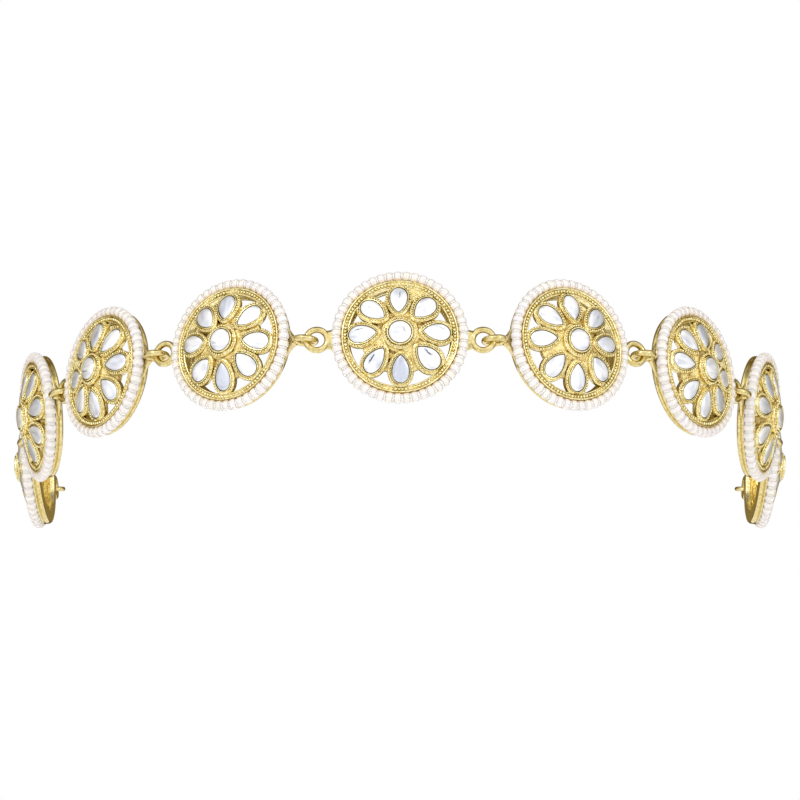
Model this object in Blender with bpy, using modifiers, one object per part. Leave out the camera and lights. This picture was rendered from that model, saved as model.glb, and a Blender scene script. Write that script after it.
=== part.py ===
"""Matha patti: a head jewel of nine round medallions in one band, in the form it takes round a head.

Each medallion is a metal setting with a domed openwork rosette, a centre stone and a ring of
seed pearls. Loops soldered to the settings hook into each other. A wire hook hangs at each end.
Units are metres. The origin is the middle of the front medallion's flat back, where the band sits
on the hairline. The wearer looks along -Y, and +Z is up. Left and right are as seen from in front.
"""
import math
from collections import namedtuple

import bmesh
import bpy
from mathutils import Matrix, Vector

MM = 0.001
CLEARANCE = 0.3 * MM

# Everything turned round a medallion's axis has flats, not corners, where the petals point
RING_SIDES = 16
RING_PHASE = math.pi / RING_SIDES

# Back ring and bezel, measured from the medallion's axis and from its flat back
PEARL_WIDTH = 1.9 * MM
MEDALLION_RADIUS = 14.2 * MM
PEARL_LINE = MEDALLION_RADIUS - 0.5 * PEARL_WIDTH
BACK_RING_RADIUS = 13.3 * MM
BACK_RING_THICKNESS = 1.7 * MM
BEZEL_OUTER_RADIUS = 11.9 * MM
BEZEL_INNER_RADIUS = 10.5 * MM
BEZEL_HEIGHT = 3.85 * MM
BEZEL_CHAMFER = 0.35 * MM
PEARL_LEVEL = BACK_RING_THICKNESS + CLEARANCE + 0.5 * PEARL_WIDTH
PEARL_RING_RESOLUTION = 2

# Domed plate under the stones, with the raised seat of the centre stone
PLATE_RADIUS = 8.1 * MM
PLATE_EDGE_TOP = 4.4 * MM
PLATE_EDGE_BOTTOM = 3.05 * MM
PLATE_CENTRE_BOTTOM = 4.3 * MM
SEAT_RADIUS = 3.0 * MM
SEAT_FOOT = 5.95 * MM
SEAT_TOP = 6.5 * MM

# Pear-shaped collets with their stones, points inwards. The swell moves the corners of the
# outline towards its broad end, and the table is a share of the stone.
PETAL_COUNT = 8
PETAL_LENGTH = 7.0 * MM
PETAL_WIDTH = 5.5 * MM
PETAL_RADIUS = 7.6 * MM
PETAL_HEIGHT = 4.9 * MM
PETAL_TILT = math.radians(15.5)
PETAL_DEPTH = 1.4 * MM
PETAL_SIDES = 8
PETAL_SWELL = 0.25
PETAL_STONE_LENGTH = 5.3 * MM
PETAL_STONE_WIDTH = 3.7 * MM
PETAL_TABLE_SHARE = 0.66
PETAL_CROWN_HEIGHT = 0.45 * MM

# Round stone on the seat
CENTRE_STONE_RADIUS = 2.3 * MM
CENTRE_STONE_GIRDLE = 0.35 * MM
CENTRE_STONE_CROWN = 0.5 * MM
CENTRE_STONE_BEVEL = 0.7 * MM
CENTRE_STONE_SIDES = 10

# Link loops. The pivot is the point where two neighbouring loops meet.
PIVOT_RADIUS = 18.48 * MM
LOOP_LEVEL = 1.0 * MM
LOOP_RADIUS = 2.2 * MM
LOOP_WIRE_RADIUS = 0.65 * MM
LOOP_SIDES = 10
LOOP_WIRE_SIDES = 6
LINK_SLACK = 0.45 * MM
ROOT_WIDTH = 5.4 * MM
FLAT_ROOT_TIP_WIDTH = 3.6 * MM
UPRIGHT_ROOT_TIP_WIDTH = 1.5 * MM
ROOT_THICKNESS = 1.3 * MM
ROOT_START = 12.6 * MM
ROOT_END = 15.1 * MM
ROOT_SIDES = 6

# Hair hook, one bent wire. Its eye starts just clear of the shaft that closes it.
HOOK_WIRE_RADIUS = 0.5 * MM
HOOK_WIRE_RESOLUTION = 1
HOOK_EYE_RADIUS = 1.7 * MM
HOOK_SHAFT = 8.0 * MM
HOOK_BEND_RADIUS = 1.6 * MM
HOOK_RETURN = 3.5 * MM
HOOK_TURN = 92.0
EYE_START = -5.0
EYE_STEPS = 9
BEND_STEPS = 5

# How each side medallion stands, counted from the front one: the angle that it has turned round
# the head, the angle that its face looks up by, and the angle that its far end hangs down by.
Station = namedtuple("Station", "turn tilt roll")
FRONT_TILT = 16.5
SIDE_STATIONS = (
    Station(turn=31.0, tilt=15.0, roll=4.5),
    Station(turn=54.0, tilt=10.5, roll=12.5),
    Station(turn=73.0, tilt=-2.5, roll=17.0),
    Station(turn=94.0, tilt=-5.0, roll=18.0),
)
SIDES = {"left": -1, "right": 1}

# Faces closer than the first angle to one plane count as one, and edges over the second are sharp
FLAT_ANGLE = math.radians(0.1)
SHARP_ANGLE = math.radians(35.0)

# Points closer than this are one point
MERGE_DISTANCE = 0.01 * MM


def finish(name, colour, roughness, metallic):
    """A plain Principled material."""
    material = bpy.data.materials.new(name)
    material.use_nodes = True
    shader = material.node_tree.nodes["Principled BSDF"]
    shader.inputs["Base Color"].default_value = (*colour, 1.0)
    shader.inputs["Roughness"].default_value = roughness
    shader.inputs["Metallic"].default_value = metallic
    material.diffuse_color = (*colour, 1.0)
    return material


def new_object(name, data, collection):
    """An object at the origin, linked into a collection."""
    item = bpy.data.objects.new(name, data)
    collection.objects.link(item)
    return item


def take_active(name, material, collection):
    """Name the primitive that was just added and move it into a collection."""
    item = bpy.context.active_object
    for owner in list(item.users_collection):
        owner.objects.unlink(item)
    collection.objects.link(item)
    item.name = name
    item.data.materials.append(material)
    return item


def turned(name, profile, closed, material, collection):
    """A profile of (radius, height) points turned round Z, listed down its outer side."""
    mesh = bpy.data.meshes.new(name)
    edges = [(i, i + 1) for i in range(len(profile) - 1)]
    if closed:
        edges.append((len(profile) - 1, 0))
    mesh.from_pydata([(radius, 0.0, height) for radius, height in profile], edges, [])
    mesh.materials.append(material)
    item = new_object(name, mesh, collection)
    item.rotation_euler.z = RING_PHASE
    screw = item.modifiers.new("turn", "SCREW")
    screw.steps = RING_SIDES
    screw.render_steps = RING_SIDES
    screw.use_merge_vertices = True
    screw.merge_threshold = MERGE_DISTANCE
    return item


def back_ring_and_bezel(metal, collection):
    """The flat ring at the back and the bezel wall that stands on it, in one section."""
    section = [
        (BEZEL_INNER_RADIUS, BEZEL_HEIGHT - BEZEL_CHAMFER),
        (BEZEL_OUTER_RADIUS - 2.0 * BEZEL_CHAMFER, BEZEL_HEIGHT),
        (BEZEL_OUTER_RADIUS, BEZEL_HEIGHT - BEZEL_CHAMFER),
        (BEZEL_OUTER_RADIUS, BACK_RING_THICKNESS),
        (BACK_RING_RADIUS, BACK_RING_THICKNESS),
        (BACK_RING_RADIUS, 0.0),
        (BEZEL_INNER_RADIUS + BEZEL_CHAMFER, 0.0),
    ]
    return turned("bezel", section, True, metal, collection)


def domed_plate(metal, collection):
    """The plate that carries the stones, with the centre stone's seat."""
    section = [
        (0.0, SEAT_TOP),
        (SEAT_RADIUS, SEAT_TOP),
        (SEAT_RADIUS, SEAT_FOOT),
        (PLATE_RADIUS, PLATE_EDGE_TOP),
        (PLATE_RADIUS, PLATE_EDGE_BOTTOM),
        (0.0, PLATE_CENTRE_BOTTOM),
    ]
    return turned("plate", section, False, metal, collection)


def pear_outline(angle):
    """A point on a pear of length and width 1, with its point at angle 0, on the -X side."""
    angle += PETAL_SWELL * math.sin(angle)
    widest = 4.0 / (3.0 * math.sqrt(3.0))
    return -0.5 * math.cos(angle), 0.5 * math.sin(angle) * math.sin(abs(angle) / 2.0) / widest


def shrunk_face(shape, face, length_share, width_share, rise):
    """Border a face with a flat or rising rim, and give back the smaller face inside it."""
    grown = bmesh.ops.extrude_discrete_faces(shape, faces=[face])["faces"][0]
    bmesh.ops.scale(shape, verts=grown.verts, vec=(length_share, width_share, 1.0))
    bmesh.ops.translate(shape, verts=grown.verts, vec=(0.0, 0.0, rise))
    return grown


def pear_mesh(metal, stone):
    """A pear-shaped collet with its stone, point towards -X, rim of the collet at height 0."""
    shape = bmesh.new()
    bmesh.ops.create_circle(shape, cap_ends=True, radius=1.0, segments=PETAL_SIDES)
    for vertex in shape.verts:
        x, y = pear_outline(math.atan2(vertex.co.y, -vertex.co.x))
        vertex.co = (x * PETAL_LENGTH, y * PETAL_WIDTH, 0.0)
    foot = next(iter(shape.faces))
    walls = bmesh.ops.extrude_face_region(shape, geom=[foot], use_keep_orig=True)["geom"]
    rim = next(piece for piece in walls if isinstance(piece, bmesh.types.BMFace))
    bmesh.ops.translate(shape, verts=foot.verts, vec=(0.0, 0.0, -PETAL_DEPTH))
    length_share = PETAL_STONE_LENGTH / PETAL_LENGTH
    width_share = PETAL_STONE_WIDTH / PETAL_WIDTH
    girdle = shrunk_face(shape, rim, length_share, width_share, 0.0)
    metal_faces = set(shape.faces) - {girdle}
    shrunk_face(shape, girdle, PETAL_TABLE_SHARE, PETAL_TABLE_SHARE, PETAL_CROWN_HEIGHT)
    for face in set(shape.faces) - metal_faces:
        face.material_index = 1
    bmesh.ops.recalc_face_normals(shape, faces=shape.faces)
    mesh = bpy.data.meshes.new("petal")
    shape.to_mesh(mesh)
    shape.free()
    mesh.materials.append(metal)
    mesh.materials.append(stone)
    return mesh


def petals(mesh, collection):
    """The collets, set round the dome and tilted with it."""
    items = []
    for index in range(PETAL_COUNT):
        item = new_object(f"petal_{index}", mesh, collection)
        around = Matrix.Rotation(index * math.tau / PETAL_COUNT, 4, "Z")
        out = Matrix.Translation((PETAL_RADIUS, 0.0, PETAL_HEIGHT))
        item.matrix_world = around @ out @ Matrix.Rotation(PETAL_TILT, 4, "Y")
        items.append(item)
    return items


def link_loop(side, upright, metal, collection):
    """A round wire loop and the tapered root that joins it to the back ring, flats up and down."""
    centre = side * (PIVOT_RADIUS - loop_setback(LOOP_RADIUS, LOOP_WIRE_RADIUS))
    bpy.ops.mesh.primitive_torus_add(
        location=(centre, 0.0, LOOP_LEVEL),
        rotation=(math.radians(90.0) if upright else 0.0, 0.0, 0.0),
        major_radius=LOOP_RADIUS,
        minor_radius=LOOP_WIRE_RADIUS,
        major_segments=LOOP_SIDES,
        minor_segments=LOOP_WIRE_SIDES,
    )
    loop = take_active("loop", metal, collection)
    tip_width = UPRIGHT_ROOT_TIP_WIDTH if upright else FLAT_ROOT_TIP_WIDTH
    bpy.ops.mesh.primitive_cone_add(
        vertices=ROOT_SIDES,
        radius1=0.5 * ROOT_WIDTH,
        radius2=0.5 * tip_width,
        depth=ROOT_END - ROOT_START,
        location=(side * 0.5 * (ROOT_START + ROOT_END), 0.0, 0.5 * BACK_RING_THICKNESS),
        rotation=(0.0, side * math.radians(90.0), 0.0),
    )
    root = take_active("root", metal, collection)
    root.scale.x = ROOT_THICKNESS / (ROOT_WIDTH * math.cos(math.pi / ROOT_SIDES))
    return [loop, root]


def loop_setback(radius, wire_radius):
    """From the pivot to a ring's centre, so that it hooks the next loop with half the slack."""
    return radius - wire_radius - 0.5 * LINK_SLACK


def fused(name, pieces):
    """One closed mesh made of overlapping pieces, which are then removed."""
    body = pieces[0]
    for piece in pieces[1:]:
        union = body.modifiers.new("join", "BOOLEAN")
        union.operation = "UNION"
        union.solver = "EXACT"
        union.material_mode = "TRANSFER"
        union.object = piece
    bpy.context.view_layer.update()
    evaluated = body.evaluated_get(bpy.context.evaluated_depsgraph_get())
    mesh = bpy.data.meshes.new_from_object(evaluated)
    mesh.name = name
    mesh.transform(body.matrix_world)
    for piece in pieces:
        bpy.data.objects.remove(piece)
    shape = bmesh.new()
    shape.from_mesh(mesh)
    bmesh.ops.dissolve_limit(shape, angle_limit=FLAT_ANGLE, verts=shape.verts, edges=shape.edges)
    bmesh.ops.triangulate(shape, faces=shape.faces)
    shape.to_mesh(mesh)
    shape.free()
    mesh.shade_smooth()
    mesh.set_sharp_from_angle(angle=SHARP_ANGLE)
    return mesh


def setting_mesh(name, uprights, metal, stone, workshop):
    """A whole setting. uprights maps the side of each loop to whether it stands upright."""
    pieces = [back_ring_and_bezel(metal, workshop), domed_plate(metal, workshop)]
    pieces += petals(pear_mesh(metal, stone), workshop)
    for side, upright in uprights.items():
        pieces += link_loop(side, upright, metal, workshop)
    return fused(name, pieces)


def centre_stone_mesh(stone):
    """A round stone with a girdle, a ring of crown facets and a table, foot at height 0."""
    shape = bmesh.new()
    bmesh.ops.create_cone(shape, cap_ends=True, segments=CENTRE_STONE_SIDES, depth=CENTRE_STONE_GIRDLE,
                          radius1=CENTRE_STONE_RADIUS, radius2=CENTRE_STONE_RADIUS)
    bmesh.ops.translate(shape, verts=shape.verts, vec=(0.0, 0.0, 0.5 * CENTRE_STONE_GIRDLE))
    table = max(shape.faces, key=lambda face: face.calc_center_median().z)
    bmesh.ops.inset_individual(shape, faces=[table], thickness=CENTRE_STONE_BEVEL,
                               depth=CENTRE_STONE_CROWN)
    mesh = bpy.data.meshes.new("centre_stone")
    shape.to_mesh(mesh)
    shape.free()
    mesh.materials.append(stone)
    return mesh


def wire(name, points, closed, radius, resolution, material, collection):
    """A round wire or tube along points. Each point has its place and no tangents of its own."""
    curve = bpy.data.curves.new(name, "CURVE")
    curve.dimensions = "3D"
    curve.bevel_depth = radius
    curve.bevel_resolution = resolution
    curve.use_fill_caps = not closed
    spline = curve.splines.new("POLY")
    spline.points.add(len(points) - 1)
    for point, place in zip(spline.points, points):
        point.co = (*place, 1.0)
    spline.use_cyclic_u = closed
    curve.materials.append(material)
    return new_object(name, curve, collection)


def pearl_ring(name, pearl, collection):
    """The ring of seed pearls as one closed tube on the back ring, round the bezel."""
    points = []
    for index in range(RING_SIDES):
        angle = RING_PHASE + index * math.tau / RING_SIDES
        points.append((PEARL_LINE * math.cos(angle), PEARL_LINE * math.sin(angle), PEARL_LEVEL))
    return wire(name, points, True, 0.5 * PEARL_WIDTH, PEARL_RING_RESOLUTION, pearl, collection)


def hook_points(side):
    """A hair hook's wire: an eye in the XZ plane, a shaft along X on its outer side, a bend that turns up."""
    centre = loop_setback(HOOK_EYE_RADIUS, HOOK_WIRE_RADIUS)
    level = HOOK_EYE_RADIUS
    points = []
    for step in range(EYE_STEPS + 1):
        angle = math.radians(EYE_START + step * (270.0 - EYE_START) / EYE_STEPS)
        across = HOOK_EYE_RADIUS * math.cos(angle)
        points.append((centre + across, 0.0, -HOOK_EYE_RADIUS * math.sin(angle)))
    for step in range(BEND_STEPS + 1):
        angle = math.radians(-90.0 + step * 180.0 / BEND_STEPS)
        reach = centre + HOOK_SHAFT + HOOK_BEND_RADIUS * math.cos(angle)
        rise = HOOK_BEND_RADIUS * (1.0 + math.sin(angle))
        points.append((reach, side * rise, level))
    points.append((centre + HOOK_SHAFT - HOOK_RETURN, side * 2.0 * HOOK_BEND_RADIUS, level))
    return points


def standing(turn, tilt, roll, side):
    """A medallion's turn in space: X along the band away from the front, Z out of its face."""
    turn, tilt, roll = math.radians(turn), math.radians(tilt), math.radians(roll)
    face = Vector((side * math.sin(turn) * math.cos(tilt), -math.cos(turn) * math.cos(tilt),
                   math.sin(tilt)))
    level = Vector((side * math.cos(turn), math.sin(turn), 0.0))
    across = side * face.cross(level)
    along = level * math.cos(roll) - across * math.sin(roll)
    return Matrix((along, face.cross(along), face)).transposed()


def placed(spot, turn):
    """An object matrix from a place and a turn in space."""
    return Matrix.Translation(spot) @ turn.to_4x4()


def guide(name, matrix, collection):
    """An empty that holds one medallion's pieces in place."""
    empty = new_object(name, None, collection)
    empty.empty_display_size = MEDALLION_RADIUS
    empty.matrix_world = matrix
    return empty


def medallion(name, matrix, meshes, pearl, jewel, workshop):
    """A setting, its centre stone and its pearl ring, held by an empty."""
    holder = guide(f"{name}_place", matrix, workshop)
    setting = new_object(f"{name}_setting", meshes["setting"], jewel)
    stone = new_object(f"{name}_centre_stone", meshes["stone"], jewel)
    stone.location.z = SEAT_TOP + CLEARANCE
    ring = pearl_ring(f"{name}_pearl_ring", pearl, jewel)
    for piece in (setting, stone, ring):
        piece.parent = holder


def half_band(side, word, meshes, materials, jewel, workshop):
    """The medallions of one side, each hooked to the one before, and the hair hook at the end."""
    turn = standing(0.0, FRONT_TILT, 0.0, side)
    spot = Vector((0.0, 0.0, 0.0))
    to_pivot = Vector((PIVOT_RADIUS, 0.0, LOOP_LEVEL))
    from_pivot = Vector((PIVOT_RADIUS, 0.0, -LOOP_LEVEL))
    for number, station in enumerate(SIDE_STATIONS, start=1):
        pivot = spot + turn @ to_pivot
        turn = standing(station.turn, station.tilt, station.roll, side)
        spot = pivot + turn @ from_pivot
        medallion(f"{word}_{number}", placed(spot, turn), meshes, materials["pearl"], jewel, workshop)
    hook_turn = standing(HOOK_TURN, 0.0, 0.0, side)
    matrix = placed(spot + turn @ to_pivot, hook_turn)
    holder = guide(f"{word}_hook_place", matrix, workshop)
    hook = wire(f"{word}_hair_hook", hook_points(side), False, HOOK_WIRE_RADIUS,
                HOOK_WIRE_RESOLUTION, materials["metal"], jewel)
    hook.parent = holder


def main():
    for item in list(bpy.data.objects):
        bpy.data.objects.remove(item)
    jewel = bpy.data.collections.new("matha_patti")
    bpy.context.scene.collection.children.link(jewel)
    workshop = bpy.data.collections.new("workshop")
    bpy.context.scene.collection.children.link(workshop)
    materials = {
        "metal": finish("gilt_metal", (0.80, 0.62, 0.25), 0.25, 1.0),
        "stone": finish("clear_stone", (0.90, 0.92, 0.94), 0.05, 0.0),
        "pearl": finish("seed_pearl", (0.93, 0.86, 0.80), 0.25, 0.0),
    }
    stone = centre_stone_mesh(materials["stone"])
    front = setting_mesh("front_setting", {1: False, -1: False}, materials["metal"],
                         materials["stone"], workshop)
    sides = setting_mesh("side_setting", {1: False, -1: True}, materials["metal"],
                         materials["stone"], workshop)
    front_place = placed(Vector((0.0, 0.0, 0.0)), standing(0.0, FRONT_TILT, 0.0, 1))
    medallion("front", front_place, {"setting": front, "stone": stone}, materials["pearl"],
              jewel, workshop)
    for word, side in SIDES.items():
        half_band(side, word, {"setting": sides, "stone": stone}, materials, jewel, workshop)


main()
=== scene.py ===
import math
import random
from collections import namedtuple

import bmesh
import bpy
from mathutils import Matrix, Vector, noise


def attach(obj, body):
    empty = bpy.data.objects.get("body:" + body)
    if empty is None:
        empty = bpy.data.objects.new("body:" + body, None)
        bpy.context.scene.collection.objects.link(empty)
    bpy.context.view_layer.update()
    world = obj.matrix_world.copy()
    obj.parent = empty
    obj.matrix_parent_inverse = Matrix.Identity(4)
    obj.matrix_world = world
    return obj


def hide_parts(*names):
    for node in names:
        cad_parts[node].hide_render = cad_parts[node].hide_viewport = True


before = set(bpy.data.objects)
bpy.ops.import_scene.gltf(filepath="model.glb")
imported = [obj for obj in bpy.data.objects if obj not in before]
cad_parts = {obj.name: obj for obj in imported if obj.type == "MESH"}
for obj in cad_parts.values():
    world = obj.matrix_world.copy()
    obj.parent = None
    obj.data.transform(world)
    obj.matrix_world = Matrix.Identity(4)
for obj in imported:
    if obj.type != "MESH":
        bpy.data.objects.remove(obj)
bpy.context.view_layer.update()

MM = 0.001

# How each side medallion stands, counted from the front one: the angle that it has turned round
# the head, the angle that its face looks up by, and the angle that its far end hangs down by.
Station = namedtuple("Station", "turn tilt roll")
FRONT_TILT = 16.5
SIDE_STATIONS = (
    Station(turn=31.0, tilt=15.0, roll=4.5),
    Station(turn=54.0, tilt=10.5, roll=12.5),
    Station(turn=73.0, tilt=-2.5, roll=17.0),
    Station(turn=94.0, tilt=-5.0, roll=18.0),
)
SIDES = {"left": -1, "right": 1}
PIVOT_RADIUS = 18.48 * MM

# Turned ring behind the pearls and the bezel wall on it, as (radius, height) corners in mm
RING_STEPS = 144
RING_SECTION = (
    (10.40, 0.00), (12.75, 0.00), (13.10, 0.12), (13.30, 0.40), (13.36, 0.92), (13.10, 1.04), (13.10, 1.20),
    (13.38, 1.32), (13.40, 1.60), (13.30, 1.76), (12.90, 1.80), (12.40, 1.88), (12.24, 2.06), (12.26, 2.40),
    (12.26, 2.90), (12.22, 3.20), (12.12, 3.42), (12.08, 3.60), (12.06, 3.74), (11.94, 3.80), (11.76, 3.74),
    (11.68, 3.52), (10.98, 3.40), (10.94, 3.52), (10.84, 3.58), (10.68, 3.52), (10.60, 3.36), (10.60, 1.90),
    (10.62, 1.66), (10.54, 1.60), (10.52, 1.42), (10.42, 1.42), (10.40, 1.56), (10.32, 1.52), (10.30, 1.20),
)
GROOVE_INNER, GROOVE_OUTER, GROOVE_TOP = 10.405 * MM, 10.535 * MM, 1.59 * MM
FLANGE_OUTER = 10.66 * MM
SECTION_ROUNDING = 0.04 * MM
RING_FACE_LEVEL = 2.0 * MM
BACK_FACE_LEVEL = 0.02 * MM
MERGE_DISTANCE = 0.0005 * MM
SHARP_ANGLE = math.radians(50.0)

# Beaded edges, rolled with a milgrain wheel
ROPE_RADIUS = 11.34 * MM
ROPE_LEVEL = 3.50 * MM
ROPE_BEAD = 0.37 * MM
ROPE_PITCH = 0.72 * MM
GRAIN_BEAD = 0.27 * MM
GRAIN_PITCH = 0.6 * MM
WEAR_STRETCH = 3.2 * MM
WEAR_FIELD = 50.0
WEAR_DEPTH = 0.55
WEAR_SPREAD = 0.5
BEAD_COLUMNS = 8
BEAD_ROWS = 5
BEAD_LIFT = 0.08
BEAD_SIZES = (0.9, 1.08)

# Domed plate with small triangular pits, one between each two collets
PLATE_RADIUS = 8.1 * MM
PLATE_COLUMNS = 192
PLATE_ROWS = 36
PLATE_UNDER_ROWS = 6
PLATE_THICKNESS = 1.0 * MM
PLATE_TOP_CENTRE = 5.6 * MM
PLATE_TOP_EDGE = 4.0 * MM
PLATE_TOP_FLAT = 3.0 * MM
GRANULE = 0.5 * MM
GRANULE_HEIGHT = 0.2 * MM
GRANULE_FIELD = 10.0
PIT_START = 3.9 * MM
PIT_END = 6.3 * MM
PIT_HALF_WIDTH = 1.0 * MM
PIT_DEPTH = 0.6 * MM
PIT_EDGE = 0.2 * MM
FRONT_PITS = (0.9, 0.3, 0.5, 0.7, 0.4, 1.4, 0.4, 0.8)
PIT_SHARES = (0.3, 1.0)

# Patch of granulated metal that fills one gap of the front medallion
PATCH_ANGLE = math.radians(67.5)
PATCH_HALF_SPREAD = math.radians(19.5)
PATCH_INNER = 7.6 * MM
PATCH_OUTER = 10.8 * MM
PATCH_INNER_TOP = 4.55 * MM
PATCH_OUTER_TOP = 3.35 * MM
PATCH_COLUMNS = 40
PATCH_ROWS = 36
PATCH_TOP_SHARE = 0.75

# Pear-shaped stones and their collets, in a frame of their own with the point towards -X. The collet's
# section is (outset from the stone's outline, height) corners in mm.
PETAL_COUNT = 8
PETAL_RADIUS = 7.55 * MM
PETAL_HEIGHT = 4.9 * MM
PETAL_TILT = math.radians(15.5)
STONE_LENGTH = 6.0 * MM
STONE_WIDTH = 3.8 * MM
PEAR_SHARPNESS = 0.52
PEAR_POINTS = 48
COLLET_REACH = 10.9 * MM
COLLET_SECTION = (
    (0.00, -0.50), (0.00, 0.05), (0.04, 0.13), (0.12, 0.14), (0.18, 0.08), (0.21, -0.06), (0.26, -0.16),
    (0.74, -0.24), (0.80, -0.32), (0.82, -0.50), (0.80, -1.35), (0.64, -1.55),
)
COLLET_WALL_ROW = 9
MILGRAIN_OUTSET = 0.51 * MM
MILGRAIN_LEVEL = -0.13 * MM
STONE_GAP = 0.11 * MM
SEAM_ROWS = 1

# How each collet and stone sits, in degrees and mm: its angle round the medallion, its radius, its twist,
# its shares of the usual length and width, and how far the stone's foil has greyed
Petal = namedtuple("Petal", "angle radius twist long wide greyed")
FRONT_PETALS = (
    Petal(4.0, 7.62, -5.0, 1.00, 1.00, 0.1),
    Petal(48.0, 7.57, -2.0, 1.00, 1.06, 0.0),
    Petal(92.0, 7.46, -3.0, 1.04, 1.02, 0.05),
    Petal(137.0, 7.58, 5.0, 1.03, 1.04, 0.1),
    Petal(179.0, 7.72, 5.0, 1.02, 1.03, 0.05),
    Petal(227.0, 7.54, 6.0, 1.03, 0.99, 0.1),
    Petal(271.0, 7.40, -1.0, 1.00, 1.00, 1.0),
    Petal(320.0, 7.57, -2.5, 1.02, 1.14, 0.15),
)
PETAL_SWING = 2.5
PETAL_SHIFT = 0.1
PETAL_TWIST = 5.0
PETAL_LENGTHS = (0.97, 1.04)
PETAL_WIDTHS = (0.95, 1.08)
GREYED_RARITY = 3

# The crease in the foil under each stone, in the stone's own frame, in mm and degrees. The last is the
# round stone's.
Crease = namedtuple("Crease", "x y angle half_length darkness")
FRONT_CREASES = (
    Crease(1.1, 0.8, -22.0, 0.9, 0.45),
    Crease(-0.5, -0.6, 10.0, 1.1, 0.25),
    Crease(1.0, -0.25, 0.0, 1.0, 0.6),
    Crease(0.9, -0.1, -20.0, 0.7, 0.5),
    Crease(0.5, -1.0, 8.0, 1.2, 1.0),
    Crease(0.1, -0.7, 9.0, 1.7, 1.0),
    Crease(0.0, 0.0, 0.0, 1.0, 0.0),
    Crease(-0.7, 0.55, 8.0, 1.4, 1.0),
    Crease(0.9, 0.4, -67.0, 0.9, 0.6),
)
CREASE_X_RANGE = (-0.8, 1.2)
CREASE_Y_RANGE = (-0.9, 0.9)
CREASE_ANGLE = 18.0
CREASE_HALF_LENGTHS = (0.6, 1.5)
CREASE_DARKEST = 0.8
CREASE_HALF_WIDTH = 0.24

# Crown of a pear-shaped stone, as (share of its size, height in mm) rings
STONE_DOME = (
    (1.0, -0.45), (1.0, -0.06), (0.96, 0.06), (0.88, 0.17), (0.74, 0.26), (0.52, 0.33), (0.26, 0.37),
)
CROWN_RISE = 0.01

# How far a stone leans in its collet, in degrees, and the step in the foil's pattern from stone to stone
STONE_LEAN = 2.5
LEAN_AXIS_RISE = 0.2
FOIL_STEP = 3.7

# Round stone, its bezel as (radius, height) corners and its crown as rings
ROUND_STONE_RADIUS = 2.36 * MM
ROUND_BEZEL_SECTION = (
    (2.44, 4.90), (3.50, 4.90), (3.50, 6.10), (3.40, 6.24), (2.84, 6.34), (2.78, 6.50), (2.76, 6.84),
    (2.69, 6.96), (2.55, 6.96), (2.46, 6.86), (2.44, 6.50),
)
ROUND_GRAIN_RADIUS = 3.14 * MM
ROUND_GRAIN_LEVEL = 6.38 * MM
ROUND_STONE_LEVEL = 6.83 * MM
ROUND_DOME = (
    (1.0, -0.45), (1.0, -0.08), (0.96, 0.08), (0.87, 0.20), (0.70, 0.31), (0.47, 0.38), (0.2, 0.41),
)

# Seed pearls, a little flat where they touch
PEARL_COUNT = 47
PEARL_LINE = 13.04 * MM
PEARL_LEVEL = 2.74 * MM
PEARL_RADIUS = 1.18 * MM
PEARL_HALF_WIDTH = 0.88 * MM
PEARL_COLUMNS = 14
PEARL_ROWS = 10
PEARL_SQUARENESS = 0.7
PEARL_SWING = 0.03
PEARL_SIZES = (0.97, 1.02)
CORE_SHARE = 0.81
CORE_COLUMNS = 141
CORE_ROWS = 14

# Loops and their roots
LOOP_LEVEL = 1.0 * MM
LOOP_RADIUS = 2.2 * MM
LOOP_WIRE_RADIUS = 0.65 * MM
LOOP_COLUMNS = 48
LOOP_ROWS = 16
LINK_SLACK = 0.45 * MM
ROOT_START = 12.7 * MM
ROOT_END = 15.2 * MM
ROOT_THICKNESS = 1.35 * MM
ROOT_COLUMNS = 24
ROOT_ROWS = 10
ROOT_FLARE = 1.5
FLAT_ROOT_WIDTHS = (5.8 * MM, 3.9 * MM)
UPRIGHT_ROOT_WIDTHS = (7.6 * MM, 1.7 * MM)

# Hair hook
HOOK_WIRE_RADIUS = 0.5 * MM
HOOK_EYE_RADIUS = 1.7 * MM
HOOK_SHAFT = 8.0 * MM
HOOK_BEND_RADIUS = 1.6 * MM
HOOK_RETURN = 3.5 * MM
HOOK_TURN = 92.0
HOOK_EYE_START = -5.0
HOOK_EYE_SWEEP = 275.0
HOOK_EYE_STEPS = 28
HOOK_BEND_STEPS = 14
HOOK_WIRE_ROUNDNESS = 4

# Sizes of what shows in each finish: the plating's sandy grain and its relief, the reach of the painted shade
# in seams and hollows, the mottled spots in the painted shade round the stones, the cast grains and their
# relief, the reach of the painted shade between them, the clouds in the foil, the bloom of the pearls and how
# deep light goes into them
SAND_GRAIN = 0.55 * MM
SAND_RELIEF = 0.1 * MM
PAINTED_SHADE_REACH = 0.45 * MM
SHADE_MOTTLE = 0.8 * MM
CAST_GRAIN = 0.3 * MM
CAST_RELIEF = 0.12 * MM
CAST_PAINTED_SHADE_REACH = 0.8 * MM
FOIL_CLOUD = 3.5 * MM
FOIL_RELIEF = 0.5 * MM
PEARL_BLOOM = 0.9 * MM
PEARL_SCATTER = 0.6 * MM
AO_SAMPLES = 8

# Camera, level with the band and far enough for its mild perspective
CAMERA_PLACE = (0.0, -1.005, -0.0121)
CAMERA_LENS = 219.0
SENSOR_WIDTH = 36.0

# Floor and lights
FLOOR_LEVEL = -0.12
FLOOR_RADIUS = 0.28
FLOOR_SEGMENTS = 64
Lamp = namedtuple("Lamp", "name place size power")
LAMPS = (
    Lamp("key_light", place=(-0.6, -0.9, 0.9), size=0.25, power=1.6),
    Lamp("fill_light", place=(0.9, -0.8, 0.4), size=0.25, power=0.8),
)

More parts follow.
